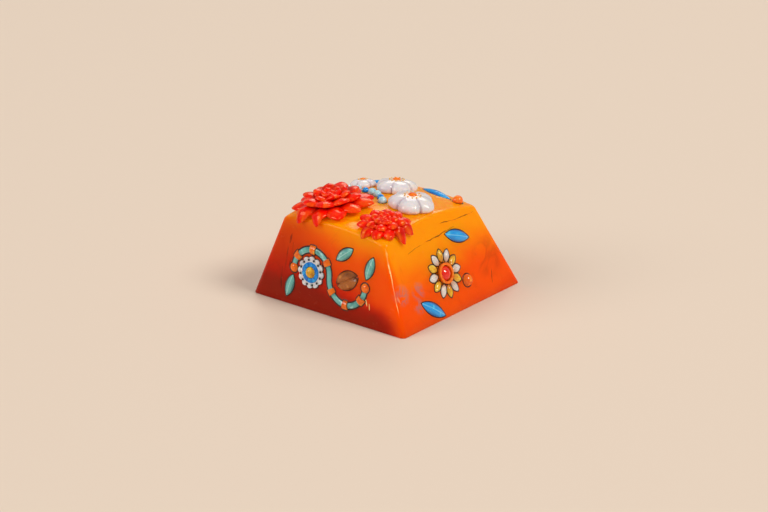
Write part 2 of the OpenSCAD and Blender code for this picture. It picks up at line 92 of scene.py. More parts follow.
def new_finish(name):
    """A new material and its shader."""
    finish = bpy.data.materials.new(name)
    finish.use_nodes = True
    return finish, finish.node_tree.nodes["Principled BSDF"]


camera_data = bpy.data.cameras.new("camera")
camera_data.sensor_width = camera_sensor
camera_data.lens = camera_lens
camera_data.clip_start = camera_near
camera = add_object("camera", camera_data)
point_at(camera, camera_place, camera_aim, camera_roll)
bpy.context.scene.camera = camera
bpy.context.scene.view_settings.view_transform = "Standard"

floor_mesh = bpy.data.meshes.new("floor")
floor_corners = [(x * floor_half, y * floor_half, 0) for x, y in ((-1, -1), (1, -1), (1, 1), (-1, 1))]
floor_mesh.from_pydata(floor_corners, [], [(0, 1, 2, 3)])
floor = add_object("floor", floor_mesh)
floor_finish, floor_shader = new_finish("pale_floor")
feed(floor_shader, Base_Color=floor_colour, Roughness=0.7, Specular_IOR_Level=0.2)
floor_mesh.materials.append(floor_finish)

room = bpy.data.worlds.new("room")
room.use_nodes = True
feed(room.node_tree.nodes["Background"], Color=room_colour, Strength=room_strength)
bpy.context.scene.world = room

for name, (place, aim_height, size, power, colour) in lamps.items():
    lamp_data = bpy.data.lights.new(name, "AREA")
    lamp_data.shape = "DISK"
    lamp_data.size = size
    lamp_data.energy = power
    lamp_data.color = colour
    point_at(add_object(name, lamp_data), place, (0, 0, aim_height))

# Cap body: one casting of translucent resin, poured amber over red in a two-part mould.
# Its shell, stem and cross socket come out as one piece, and the walls are polished by hand.
base_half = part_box("cap_body")[1].x
corner_height = 7.9 * mm
side_inset = 3.0 * mm
front_inset = 1.0 * mm
back_inset = 3.3 * mm
crown_rise = 1.3 * mm
base_corner_radius = 0.5 * mm
top_corner_radius = 0.45 * mm
least_corner_radius = 0.05 * mm
edge_radius = 0.3 * mm
rim_round = 0.12 * mm
skirt_thickness = 1.4 * mm
hollow_depth = 5.4 * mm
hollow_corner_radius = 0.8 * mm
stem_radius = 2.75 * mm
stem_recess = 0.5 * mm
stem_rim_round = 0.15 * mm
stem_flare = 0.6 * mm
cross_length = 4.1 * mm
cross_arms = (1.17 * mm, 1.3 * mm)
cross_depth = 3.9 * mm
cross_lead = 0.2 * mm

side_slope = side_inset / corner_height
front_slope = front_inset / corner_height
back_slope = back_inset / corner_height
top_half = base_half - side_inset
top_front = -base_half + front_inset
top_back = base_half - back_inset
top_middle = (top_front + top_back) / 2
top_half_depth = (top_back - top_front) / 2
corner_reach = math.hypot(top_half, top_half_depth)
crown_radius = (corner_reach**2 + crown_rise**2) / (2 * crown_rise)
crown_centre = Vector((0, top_middle, corner_height + crown_rise - crown_radius))


def crown_height(x, y):
    return crown_centre.z + math.sqrt(crown_radius**2 - x**2 - (y - top_middle) ** 2)


def outline(height, inset, arc_steps=10, edge_steps=14):
    """The cap's plan at a height, drawn in by inset, from the back right corner round to the left."""
    radius = base_corner_radius + (top_corner_radius - base_corner_radius) * height / corner_height
    radius = max(radius - inset, least_corner_radius)
    half = base_half - side_slope * height - inset - radius
    back = base_half - back_slope * height - inset - radius
    front = -base_half + front_slope * height + inset + radius
    arcs = []
    for corner, (x, y) in enumerate(((half, back), (-half, back), (-half, front), (half, front))):
        turns = [math.pi / 2 * (corner + step / arc_steps) for step in range(arc_steps + 1)]
        arcs.append([Vector((x + radius * math.cos(turn), y + radius * math.sin(turn))) for turn in turns])
    points = []
    for arc, next_arc in zip(arcs, arcs[1:] + arcs[:1]):
        points += arc
        points += [arc[-1].lerp(next_arc[0], step / edge_steps) for step in range(1, edge_steps)]
    return points


def at_height(points, height):
    return [Vector((*point, height)) for point in points]


def circle(radius, height, count):
    turns = [math.tau * i / count for i in range(count)]
    return [Vector((radius * math.cos(turn), radius * math.sin(turn), height)) for turn in turns]


def face_outwards(mesh, merge_within=None):
    """Merges the corners that lie together, where asked, and points the faces outwards."""
    shaper = bmesh.new()
    shaper.from_mesh(mesh)
    if merge_within:
        bmesh.ops.remove_doubles(shaper, verts=shaper.verts, dist=merge_within)
    bmesh.ops.recalc_face_normals(shaper, faces=shaper.faces)
    shaper.to_mesh(mesh)
    shaper.free()


def lofted(name, rings, first_pole, last_pole):
    """A closed skin through rings of equal count, with a pole at each end."""
    count = len(rings[0])
    following = [(i + 1) % count for i in range(count)]
    points = [point for ring in rings for point in ring] + [first_pole, last_pole]
    faces = [(j, i, len(points) - 2) for i, j in enumerate(following)]
    for row in range(0, (len(rings) - 1) * count, count):
        faces += [(row + i, row + j, row + count + j, row + count + i) for i, j in enumerate(following)]
    last = (len(rings) - 1) * count
    faces += [(last + i, last + j, len(points) - 1) for i, j in enumerate(following)]
    mesh = bpy.data.meshes.new(name)
    mesh.from_pydata(points, [], faces)
    face_outwards(mesh)
    return add_object(name, mesh)


def shade(piece, finish=None, sharp=None):
    """Shades a piece smoothly, apart from its edges over the sharp angle in degrees, in one finish."""
    piece.data.shade_smooth()
    if sharp:
        piece.data.set_sharp_from_angle(angle=math.radians(sharp))
    if finish:
        piece.data.materials.clear()
        piece.data.materials.append(finish)


def settle(piece):
    """Turns a piece with its modifiers into a plain mesh."""
    bpy.context.view_layer.update()
    settled = bpy.data.meshes.new_from_object(piece.evaluated_get(bpy.context.evaluated_depsgraph_get()))
    piece.modifiers.clear()
    piece.data = settled


def cut_or_join(piece, other, operation):
    """Applies one exact boolean and drops the other piece."""
    change = piece.modifiers.new("change", "BOOLEAN")
    change.operation = operation
    change.solver = "EXACT"
    change.object = other
    settle(piece)
    bpy.data.objects.remove(other)


# Height at which each line up the walls meets the crown, found in a few rounds.
meeting_rounds = 4
meeting = [corner_height] * len(outline(0, 0))
for _ in range(meeting_rounds):
    meeting = [crown_height(*outline(height, 0)[i]) for i, height in enumerate(meeting)]
plans = {}


def plan_point(i, height, inset=0.0):
    """One point of the plan at a height, from plans that are worked out once."""
    key = (round(height, 9), round(inset, 9))
    if key not in plans:
        plans[key] = outline(height, inset)
    return plans[key][i]


def wall_ring(heights):
    """A ring on the walls, with its own height at each line up them."""
    return [Vector((*plan_point(i, height), height)) for i, height in enumerate(heights)]


# The outer skin: the rounded rim, the leaning walls, the blend at the top edge and the crown.
rim_turns = (0, 30, 60, 90)
wall_steps = 12
blend_steps = 8
crown_shares = (0.95, 0.88, 0.8, 0.7, 0.6, 0.5, 0.4, 0.3, 0.2, 0.1)
shell_rings = []
for turn in rim_turns:
    height = rim_round * (1 - math.cos(math.radians(turn)))
    inset = rim_round * (1 - math.sin(math.radians(turn)))
    shell_rings.append(at_height(outline(height, inset), height))
for step in range(1, wall_steps + 1):
    heights = [rim_round + (top - edge_radius - rim_round) * step / wall_steps for top in meeting]
    shell_rings.append(wall_ring(heights))
blend_wall = wall_ring([top - edge_radius for top in meeting])
blend_edge = wall_ring(meeting)
blend_crown = [Vector((*plan_point(i, top, edge_radius), 0)) for i, top in enumerate(meeting)]
for point in blend_crown:
    point.z = crown_height(point.x, point.y)
for step in range(1, blend_steps + 1):
    share = step / blend_steps
    shell_rings.append(
        [
            wall * (1 - share) ** 2 + edge * 2 * share * (1 - share) + crown * share**2
            for wall, edge, crown in zip(blend_wall, blend_edge, blend_crown)
        ]
    )
for share in crown_shares:
    spots = [(point.x * share, top_middle + (point.y - top_middle) * share) for point in blend_crown]
    shell_rings.append([Vector((x, y, crown_height(x, y))) for x, y in spots])
crown_top = (0, top_middle, crown_centre.z + crown_radius)
cap = lofted("cap_shell", shell_rings, (0, top_middle, 0), crown_top)

# The hollow: a lead-in at the rim, walls as thick as the skirt, and a roof with rounded corners.
overcut = 0.2 * mm
overcut_spread = 0.3 * mm
hollow_lead = 0.12 * mm
hollow_middle = 2.4 * mm
hollow_turns = (18, 36, 54, 72, 90)
hollow_lift = hollow_depth - hollow_corner_radius
hollow_walls = (
    (-overcut, -overcut_spread),
    (0.0, -hollow_lead),
    (hollow_lead, 0.0),
    (hollow_middle, 0.0),
    (hollow_lift, 0.0),
)
hollow_rings = [at_height(outline(height, skirt_thickness + inset), height) for height, inset in hollow_walls]
for turn in hollow_turns:
    height = hollow_lift + hollow_corner_radius * math.sin(math.radians(turn))
    inset = hollow_corner_radius * (1 - math.cos(math.radians(turn)))
    hollow_rings.append(at_height(outline(hollow_lift, skirt_thickness + inset), height))
hollow = lofted("hollow", hollow_rings, (0, top_middle, -overcut), (0, top_middle, hollow_depth))
cut_or_join(cap, hollow, "DIFFERENCE")

# The stem: a round post with a flare at the roof, and the cross socket with its lead-in.
stem_sides = 64
stem_overlap = 0.1 * mm
cross_overcut = 0.3 * mm
stem_profile = [
    (stem_radius - stem_rim_round, stem_recess),
    (stem_radius, stem_recess + stem_rim_round),
    (stem_radius, hollow_depth - stem_flare),
    (stem_radius + stem_flare * 0.3, hollow_depth - stem_flare * 0.35),
    (stem_radius + stem_flare + stem_overlap, hollow_depth + stem_overlap),
]
stem_rings = [circle(radius, height, stem_sides) for radius, height in stem_profile]
stem = lofted("stem", stem_rings, (0, 0, stem_recess), (0, 0, hollow_depth + stem_overlap))
cut_or_join(cap, stem, "UNION")
cross_foot = stem_recess - cross_overcut
cross_roof = stem_recess + cross_depth
cross_steps = (
    (cross_foot, cross_lead),
    (stem_recess, cross_lead),
    (stem_recess + cross_lead, 0),
    (cross_roof, 0),
)
for across, width in enumerate(cross_arms):
    arm_rings = []
    for height, grow in cross_steps:
        half_x, half_y = cross_length / 2 + grow, width / 2 + grow
        if across:
            half_x, half_y = half_y, half_x
        corners = [(x * half_x, y * half_y) for x, y in ((1, 1), (-1, 1), (-1, -1), (1, -1))]
        arm_rings.append(at_height(corners, height))
    arm = lofted("cross_arm", arm_rings, (0, 0, cross_foot), (0, 0, cross_roof))
    cut_or_join(cap, arm, "DIFFERENCE")
cap.name = "cap_body_resin"

socket_kinds = {int: "Int", float: "Float", tuple: "Vector"}


def new_tree(name, kind, inputs, outputs):
    """A new node group. Gives the tree, its inputs' sockets to read and its output node to feed.

    Each socket is given by its first value, or by the name of its kind."""
    tree = bpy.data.node_groups.new(name, kind)
    for way, sockets in (("INPUT", inputs), ("OUTPUT", outputs)):
        for label, value in sockets.items():
            sort = value if isinstance(value, str) else socket_kinds[type(value)]
            socket = tree.interface.new_socket(name=label, in_out=way, socket_type="NodeSocket" + sort)
            if sort != value:
                socket.default_value = value
    return tree, tree.nodes.new("NodeGroupInput").outputs, tree.nodes.new("NodeGroupOutput")


def wire(tree, kind, settings=None, **inputs):
    """Adds a node, with its settings and inputs, and returns it."""
    node = tree.nodes.new(kind)
    for key, value in (settings or {}).items():
        setattr(node, key, value)
    feed(node, **inputs)
    return node


def place_group(tree, group, **inputs):
    """Places a shader node group and returns its outputs."""
    return wire(tree, "ShaderNodeGroup", {"node_tree": group}, **inputs).outputs


def object_place(tree):
    return tree.nodes.new("ShaderNodeTexCoord").outputs["Object"]


def tree_of(*values):
    """The node tree that the first socket among the values is in."""
    return next(value.id_data for value in values if isinstance(value, bpy.types.NodeSocket))


def numbers(operation, *values, clamp=False):
    """The result of one Math node."""
    inputs = {f"_{i}": value for i, value in enumerate(values)}
    settings = {"operation": operation, "use_clamp": clamp}
    return wire(tree_of(*values), "ShaderNodeMath", settings, **inputs).outputs[0]


def plus(first, second):
    return numbers("ADD", first, second)


def minus(first, second):
    return numbers("SUBTRACT", first, second)


def times(first, second):
    return numbers("MULTIPLY", first, second)


def vectors(operation, *values, **inputs):
    """The result of one Vector Math node. A length, distance or dot product is a number."""
    inputs.update((f"_{i}", value) for i, value in enumerate(values))
    node = wire(tree_of(*values), "ShaderNodeVectorMath", {"operation": operation}, **inputs)
    return node.outputs["Value" if operation in ("LENGTH", "DISTANCE", "DOT_PRODUCT") else "Vector"]


def axes_of(vector):
    """A vector's X, Y and Z."""
    return wire(tree_of(vector), "ShaderNodeSeparateXYZ", _0=vector).outputs


def noise(place, scale, detail=2.0, **inputs):
    """Soft random values from 0 to 1."""
    return wire(
        tree_of(place), "ShaderNodeTexNoise", Vector=place, Scale=scale, Detail=detail, **inputs
    ).outputs[0]


def smooth_between(value, low, high):
    """0 below low, 1 above high, eased between."""
    limits = {"_1": low, "_2": high, "_3": 0.0, "_4": 1.0}
    settings = {"interpolation_type": "SMOOTHSTEP"}
    return wire(tree_of(value), "ShaderNodeMapRange", settings, _0=value, **limits).outputs[0]


def blend_colours(share, first, second):
    """The first colour where the share is 0, the second where it is 1."""
    tree = tree_of(share, first, second)
    return wire(tree, "ShaderNodeMix", {"data_type": "RGBA"}, _0=share, _6=first, _7=second).outputs[2]


# Hand finish: every piece is sanded and polished, so its gloss has faint swirls, pits and wipe marks.
hand_finish, finish_in, finish_out = new_tree(
    "hand_finish",
    "ShaderNodeTree",
    {"Gloss": 0.1, "Marks": 0.1, "Swirl Size": 900.0, "Relief": 0.1},
    {"Roughness": "Float", "Height": "Float"},
)
finish_place = object_place(hand_finish)
swirls = noise(finish_place, finish_in["Swirl Size"], 4.0, Roughness=0.6)
wipe_place = wire(
    hand_finish, "ShaderNodeMapping", Vector=finish_place, Rotation=(0.3, 0.5, 0.4), Scale=(1.0, 7.0, 2.2)
).outputs[0]
wipes = noise(wipe_place, 1500.0)
pits = wire(hand_finish, "ShaderNodeTexVoronoi", Vector=finish_place, Scale=1100.0).outputs[0]
waves = noise(finish_place, 260.0, 1.0)
swirl_marks = times(smooth_between(swirls, 0.35, 0.75), finish_in["Marks"])
wipe_marks = times(smooth_between(wipes, 0.56, 0.74), finish_in["Marks"])
marked = numbers("ADD", plus(finish_in["Gloss"], swirl_marks), wipe_marks, clamp=True)
pitted = minus(waves, times(smooth_between(pits, 0.16, 0.05), 0.5))
feed(finish_out, Roughness=marked, Height=times(pitted, finish_in["Relief"]))

# Hairline: one scratch, crack, chip or painted glint, as a line between two points of the casting. It wanders
# in the plane of its wall, thins towards its ends and is weaker in places.
hairline, line_in, line_out = new_tree(
    "hairline",
    "ShaderNodeTree",
    {"Start": (0, 0, 0), "End": (0, 0, mm), "Facing": (0, 0, 1), "Width": 0.08 * mm, "Wander": 0.2 * mm},
    {"Mask": "Float"},
)
line_place = object_place(hairline)
wobble = vectors("SUBTRACT", noise(line_place, 700.0, 3.0).node.outputs["Color"], (0.5, 0.5, 0.5))
wobble_flat = vectors("SUBTRACT", wobble, vectors("PROJECT", wobble, line_in["Facing"]))
wandering = vectors("ADD", line_place, vectors("SCALE", wobble_flat, Scale=line_in["Wander"]))
from_start = vectors("SUBTRACT", wandering, line_in["Start"])
run = vectors("SUBTRACT", line_in["End"], line_in["Start"])
run_square = vectors("DOT_PRODUCT", run, run)
line_share = numbers("DIVIDE", vectors("DOT_PRODUCT", from_start, run), run_square, clamp=True)
aside = vectors("LENGTH", vectors("SUBTRACT", from_start, vectors("SCALE", run, Scale=line_share)))
taper = plus(times(numbers("SINE", times(line_share, math.pi)), 0.75), 0.25)
line_width = times(line_in["Width"], taper)
line_fade = numbers("SUBTRACT", 1.0, numbers("DIVIDE", aside, line_width), clamp=True)
line_weight = plus(times(smooth_between(noise(line_place, 900.0), 0.32, 0.62), 0.8), 0.2)
feed(line_out, Mask=times(smooth_between(line_fade, 0.0, 0.6), line_weight))

# Wisp: curled threads of colour that drifted in the pour, inside a soft round patch.
wisp, wisp_in, wisp_out = new_tree(
    "wisp",
    "ShaderNodeTree",
    {"Centre": (0, 0, 0), "Reach": mm, "Grain": 600.0, "Thread": 0.04},
    {"Mask": "Float"},
)
wisp_place = object_place(wisp)
wisp_share = numbers("DIVIDE", vectors("DISTANCE", wisp_place, wisp_in["Centre"]), wisp_in["Reach"])
wisp_curl = noise(wisp_place, wisp_in["Grain"], Distortion=1.6)
wisp_band = numbers("ABSOLUTE", minus(wisp_curl, 0.5))
wisp_thread = numbers("SUBTRACT", 1.0, numbers("DIVIDE", wisp_band, wisp_in["Thread"]), clamp=True)
feed(wisp_out, Mask=times(wisp_thread, smooth_between(wisp_share, 1.0, 0.35)))


def leaning_wall(foot, slope, turn=0.0):
    """A wall's own frame, from the middle of its foot: X along it, Y up it and Z out of it."""
    lean = Matrix.Rotation(math.pi / 2 - math.atan(slope), 4, "X")
    return Matrix.Translation(foot) @ Matrix.Rotation(turn, 4, "Z") @ lean


front_wall = leaning_wall((0, -base_half, 0), front_slope)
side_wall = leaning_wall((base_half, 0, 0), side_slope, math.pi / 2)


def on_wall(wall, along, up):
    return wall @ Vector((along * mm, up * mm, 0))


def scratch(wall, start, end, width, wander):
    """A scratch, crack or nick on a wall, from start to end in mm along the wall and up it."""
    ends = {"Start": on_wall(wall, *start), "End": on_wall(wall, *end)}
    return {**ends, "Facing": wall.col[2].xyz, "Width": width * mm, "Wander": wander * mm}


def edge_mark(start, end, width, wander, draw=0.13):
    """A mark on the upright edge between the front and the right wall, between two heights in mm."""
    ends = [
        Vector((base_half - side_slope * up * mm, -base_half + front_slope * up * mm, up * mm))
        + Vector((-draw * mm, draw * mm, 0))
        for up in (start, end)
    ]
    facing = (front_wall.col[2].xyz + side_wall.col[2].xyz).normalized()
    return {"Start": ends[0], "End": ends[1], "Facing": facing, "Width": width * mm, "Wander": wander * mm}


def drift(wall, along, up, reach, grain, thread):
    """A patch of wisps on a wall, with its place and reach in mm."""
    return {"Centre": on_wall(wall, along, up), "Reach": reach * mm, "Grain": grain, "Thread": thread}


# Wear as the photograph shows it, with painted glints among the pale marks.
# A scratch or mark ends in its width and its wander in mm.
dark_scratches = [
    scratch(front_wall, (-4.7, 6.7), (-4.9, 5.7), 0.15, 0.25),
    scratch(front_wall, (-4.5, 5.9), (-4.6, 4.5), 0.09, 0.3),
    scratch(front_wall, (-5.1, 5.4), (-5.3, 2.9), 0.13, 0.35),
    scratch(front_wall, (-4.7, 4.4), (-4.8, 3.4), 0.08, 0.3),
    scratch(front_wall, (-5.6, 3.4), (-5.6, 1.2), 0.12, 0.4),
    scratch(side_wall, (1.9, 7.55), (-3.8, 7.2), 0.07, 0.4),
    scratch(side_wall, (-3.4, 7.3), (-5.4, 6.9), 0.05, 0.4),
    scratch(side_wall, (-0.3, 8.3), (2.6, 8.1), 0.08, 0.3),
    scratch(side_wall, (2.3, 8.1), (5.3, 8.1), 0.08, 0.3),
    scratch(side_wall, (5.3, 2.5), (5.0, 1.2), 0.07, 0.4),
    scratch(side_wall, (7.0, 5.4), (7.6, 3.4), 0.09, 0.4),
    edge_mark(5.2, 3.0, 0.06, 0.2, draw=0.02),
]
# Pale marks: chips down the upright front edge, partly wear and partly painted highlight on the edge, and
# short painted glints near the front corner of the right wall and low on the front wall.
chips_and_glints = [
    edge_mark(7.7, 4.2, 0.07, 0.22),
    edge_mark(5.0, 1.4, 0.05, 0.26),
    edge_mark(7.4, 6.8, 0.12, 0.1),
    edge_mark(5.9, 5.4, 0.10, 0.1),
    edge_mark(3.6, 3.2, 0.09, 0.1),
    scratch(side_wall, (-8.3, 3.85), (-8.1, 3.1), 0.13, 0.2),
    scratch(front_wall, (4.2, 2.9), (4.55, 2.0), 0.1, 0.2),
    scratch(front_wall, (4.75, 2.3), (4.9, 1.7), 0.06, 0.2),
]
smoky_drifts = [
    drift(side_wall, -7.6, 3.7, 1.2, 620.0, 0.13),
    drift(side_wall, -5.4, 3.4, 1.1, 520.0, 0.10),
    drift(side_wall, -5.75, 2.2, 1.0, 480.0, 0.09),
]
dark_drifts = [
    drift(side_wall, -4.6, 1.6, 2.0, 300.0, 0.07),
    drift(side_wall, 5.4, 3.6, 2.6, 220.0, 0.1),
    drift(front_wall, 5.4, 0.8, 0.9, 420.0, 0.14),
    drift(front_wall, -6.6, 2.2, 2.0, 260.0, 0.06),
]


def strongest(tree, group, rows):
    """The strongest mask of one group, placed once for each row of values."""
    masks = [place_group(tree, group, **row)["Mask"] for row in rows]
    result = masks[0]
    for mask in masks[1:]:
        result = numbers("MAXIMUM", result, mask)
    return result


amber = (1.0, 0.31, 0.0)
orange_red = (0.90, 0.086, 0.0)
deep_red = (0.66, 0.010, 0.0)
dark_red_and_shade = (0.17, 0.003, 0.001)
shaded_red = (0.29, 0.008, 0.001)
haze_red = (0.45, 0.02, 0.001)
drift_brown = (0.22, 0.012, 0.002)
smoke_blue = (0.31, 0.21, 0.23)
chip_and_glint_yellow = (1.0, 0.72, 0.30)
scratch_brown = (0.07, 0.010, 0.003)

poured_resin, body_shader = new_finish("poured_resin")
body_tree = poured_resin.node_tree
body_place = object_place(body_tree)
body_x, body_y, body_z = axes_of(body_place)
# The pour: its levels wave. The bright ones reach lower on the right and the dark ones higher up the front,
# partly the resin's own pour and partly painted light on the right wall and painted shade on the front.
flow = noise(body_place, 150.0, 3.0, Roughness=0.55, Distortion=0.6)
level = plus(body_z, times(minus(flow, 0.5), 3.4 * mm))
right_lit_lean = times(smooth_between(body_x, -7 * mm, 9.5 * mm), 4.4 * mm)
near_front = smooth_between(body_y, -7.3 * mm, -8.3 * mm)
front_share = times(near_front, smooth_between(body_x, 9.2 * mm, 6.2 * mm))
front_left = times(front_share, smooth_between(body_x, 1 * mm, -6.5 * mm))
front_right = minus(front_share, front_left)
front_low = times(front_share, smooth_between(level, 3.0 * mm, 0.3 * mm))
front_shade_drop = plus(times(front_share, 0.9 * mm), times(front_right, 1.6 * mm))
lower = plus(level, minus(right_lit_lean, plus(front_shade_drop, 0.9 * mm)))
upper = minus(plus(level, times(right_lit_lean, 0.35)), times(front_share, 2.2 * mm))
# The colours from the foot up: a dark foot, partly the resin's own colour and partly painted shade,
# deep red, orange red and amber, with painted shade on the front's left and at its foot.
low_colour = blend_colours(smooth_between(lower, -1.2 * mm, 2.4 * mm), dark_red_and_shade, deep_red)
mid_colour = blend_colours(smooth_between(lower, 1.2 * mm, 5.0 * mm), low_colour, orange_red)
high_colour = blend_colours(smooth_between(upper, 4.4 * mm, 8.4 * mm), mid_colour, amber)
# Painted shade: the left of the front wall and its foot turn to shaded red.
left_shaded = blend_colours(times(front_left, 0.5), high_colour, shaded_red)
low_shaded = blend_colours(times(front_low, 0.88), left_shaded, shaded_red)
haze = noise(body_place, 420.0, 4.0, Distortion=1.2)
hazy = blend_colours(times(smooth_between(haze, 0.58, 0.8), 0.25), low_shaded, haze_red)
drifted = blend_colours(times(strongest(body_tree, wisp, dark_drifts), 0.28), hazy, drift_brown)
smoky = blend_colours(times(strongest(body_tree, wisp, smoky_drifts), 0.48), drifted, smoke_blue)
dark_lines = strongest(body_tree, hairline, dark_scratches)
chip_and_glint_lines = strongest(body_tree, hairline, chips_and_glints)
scratched = blend_colours(times(dark_lines, 0.75), smoky, scratch_brown)
chipped_and_glinting = blend_colours(chip_and_glint_lines, scratched, chip_and_glint_yellow)
body_finish = place_group(body_tree, hand_finish, Gloss=0.1, Marks=0.14, Swirl_Size=700.0, Relief=0.3)
body_height = minus(body_finish["Height"], times(numbers("MAXIMUM", dark_lines, chip_and_glint_lines), 0.6))
body_bump = wire(body_tree, "ShaderNodeBump", Strength=0.3, Distance=0.06 * mm, Height=body_height)
feed(
    body_shader,
    Base_Color=chipped_and_glinting,
    Roughness=body_finish["Roughness"],
    Normal=body_bump.outputs[0],
    # Painted glow: the resin's own colour is given off as a faint emission, standing in for light that passes
    # through it.
    Emission_Color=chipped_and_glinting,
    Emission_Strength=0.08,
    Subsurface_Weight=0.7,
    Subsurface_Radius=(1.0, 0.22, 0.05),
    Subsurface_Scale=1.6 * mm,
    Specular_IOR_Level=0.16,
    Specular_Tint=(1.0, 0.72, 0.42),
    Coat_Weight=0.04,
    Coat_Roughness=0.04,
)
shade(cap, poured_resin, 38)
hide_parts("cap_body")
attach(cap, "root")

# Shadow outlines: a thin dark sheet of painted shadow round each inlay, lying flush with the cap's skin.
# Each is the inlay's own form, grown a little and pressed flat to the wall or the crown it sits in.
wall_spread = 0.1 * mm
top_spread = 0.05 * mm
outline_proud = 0.012 * mm
merge_distance = 0.0005 * mm
inlays = (
    (("vine", "vine_bands", "vine_berries", "brown_pod", "vine_leaves", "aster_rim"), front_wall),
    (("daisy_white_petals", "daisy_yellow_petals", "daisy_collar", "side_leaves", "side_bud"), side_wall),
    (("pale_beads", "blue_beads", "amber_bead", "long_blue_leaf", "short_blue_leaf"), None),
)


def merged_copy(name, node):
    """A copy of a CAD node's mesh with its doubled corners merged."""
    piece = add_object(name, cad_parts[node].data.copy())
    face_outwards(piece.data, merge_distance)
    piece.data.materials.clear()
    return piece


def resin(name, shade, body, streak, grain=900.0, gloss=0.14, glow=0.3, relief=0.4, coat=0.35):
    """A glossy cast resin that clouds between three colours."""
    finish, shader = new_finish(name)
    tree = finish.node_tree
    place = object_place(tree)
    cloud = smooth_between(noise(place, grain, 3.0, Distortion=0.7), 0.25, 0.55)
    fleck = smooth_between(noise(place, grain * 2.3), 0.55, 0.75)
    polish = place_group(tree, hand_finish, Gloss=gloss, Marks=0.12, Swirl_Size=1400.0, Relief=relief)
    bump = wire(tree, "ShaderNodeBump", Strength=0.35, Distance=0.05 * mm, Height=polish["Height"])
    feed(
        shader,
        Base_Color=blend_colours(fleck, blend_colours(cloud, shade, body), streak),
        Roughness=polish["Roughness"],
        Normal=bump.outputs[0],
        Subsurface_Weight=glow,
        Subsurface_Radius=(1.0, 0.6, 0.4),
        Subsurface_Scale=0.4 * mm,
        Specular_IOR_Level=0.3,
        Coat_Weight=coat,
        Coat_Roughness=0.05,
    )
    return finish


shadow_outline_colours = ((0.012, 0.002, 0.001), (0.035, 0.004, 0.002), (0.09, 0.010, 0.003))
bonding_resin = resin("bonding_resin", *shadow_outline_colours, gloss=0.3, glow=0.0, coat=0.2)


def shadow_outline(node, wall):
    """An inlay's form as a painted shadow, spread out and pressed flat to its wall, or to the crown where
    there is no wall.
    """
    line = merged_copy(node + "_bond_line", node)
    spread = wall_spread if wall else top_spread
    points = [vertex.co + vertex.normal * spread for vertex in line.data.vertices]
    for vertex, point in zip(line.data.vertices, points):
        if wall:
            point = wall.inverted() @ point
            point.z = min(point.z, outline_proud)
            point = wall @ point
        else:
            point.z = min(point.z, crown_height(point.x, point.y) + outline_proud)
        vertex.co = point
    line.data.materials.append(bonding_resin)
    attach(line, "root")


for nodes, wall in inlays:
    for node in nodes:
        shadow_outline(node, wall)

# Red blooms: two many-petalled flowers of glossy red resin, each pulled from a soft mould and
# bonded into a round seat near the front edge. The petals that pass the edge of the top fall over it.
spacing = 0.2 * mm
large_reach = 3.9 * mm
small_reach = 2.6 * mm
large_place = Vector((-top_half + 3.4 * mm, top_front + 3.2 * mm))
petal_droop = 1.4
petal_sag = 0.09
petal_thickness = 0.76 * mm
petal_thinning = 0.08
petal_unevenness = 0.07
# Each ring is turned on by this many degrees, times its start and over its petals.
ring_twist = 720
# Each ring from the outside in: its petals, their start, length and width as shares of the bloom's reach,
# their tilt in degrees and their lift as a share of the reach.
petal_rings = [
    (11, 0.2, 0.81, 0.47, 3.5, 0.09),
    (8, 0.14, 0.63, 0.47, 17, 0.125),
    (6, 0.08, 0.45, 0.41, 32, 0.145),
    (5, 0.05, 0.32, 0.32, 50, 0.15),
    (3, 0.01, 0.22, 0.24, 70, 0.17),
]


def off(place, reach, degrees):
    return place + reach * Vector((math.cos(math.radians(degrees)), math.sin(math.radians(degrees))))


small_place = off(large_place, large_reach + spacing + small_reach, -7)


def turned(degrees):
    return Matrix.Rotation(math.radians(degrees), 4, "Z")


def crown_frame(place, degrees=0.0):
    """Moves a piece's own frame on to the crown, with Z along the crown's normal."""
    point = Vector((*place, crown_height(*place)))
    normal = (point - crown_centre).normalized()
    lean = Vector((0, 0, 1)).rotation_difference(normal).to_matrix().to_4x4()
    return Matrix.Translation(point) @ lean @ turned(degrees)


def mark_points(piece, **marks):
    """Stores one number per point under each name, for the finish to read."""
    for name, measure in marks.items():
        values = piece.data.attributes.new(name, "FLOAT", "POINT").data
        for value, vertex in zip(values, piece.data.vertices):
            value.value = measure(vertex.co)


def petal_template():
    """One petal from 0 to 1 along X: narrow at the root, full towards a soft point, with two furrows."""
    stations, around = 22, 18
    first_share = 0.01
    fullest = 0.6
    root_width, root_depth = 0.40, 0.62
    face_height, back_height, arch = 0.5, 0.34, 0.05
    furrow_depth, furrow_place, furrow_spread = 0.16, 0.36, 0.14
    rings = []
    for station in range(stations):
        share = station / stations + first_share
        if share < fullest:
            growth = math.sin(math.pi / 2 * share / fullest)
            width = root_width + (1 - root_width) * growth
            depth = root_depth + (1 - root_depth) * growth
        else:
            end = (share - fullest) / (1 - fullest)
            width = (1 - end**1.8) ** 0.8
            depth = (1 - end**2.1) ** 0.65
        ring = []
        for step in range(around):
            turn = math.tau * step / around
            side, up = math.cos(turn), math.sin(turn)
            furrow = furrow_depth * math.exp(-(((abs(side) - furrow_place) / furrow_spread) ** 2))
            face = face_height - furrow * math.sin(math.pi * share)
            height = up * (face if up > 0 else back_height)
            ring.append(Vector((share, 0.5 * width * side, height * depth + arch * (1 - side**2))))
        rings.append(ring)
    piece = lofted("petal", rings, (0, 0, arch), (1, 0, arch))
    shade(piece)
    mark_points(piece, along=lambda point: point.x, across=lambda point: point.y)
    return piece


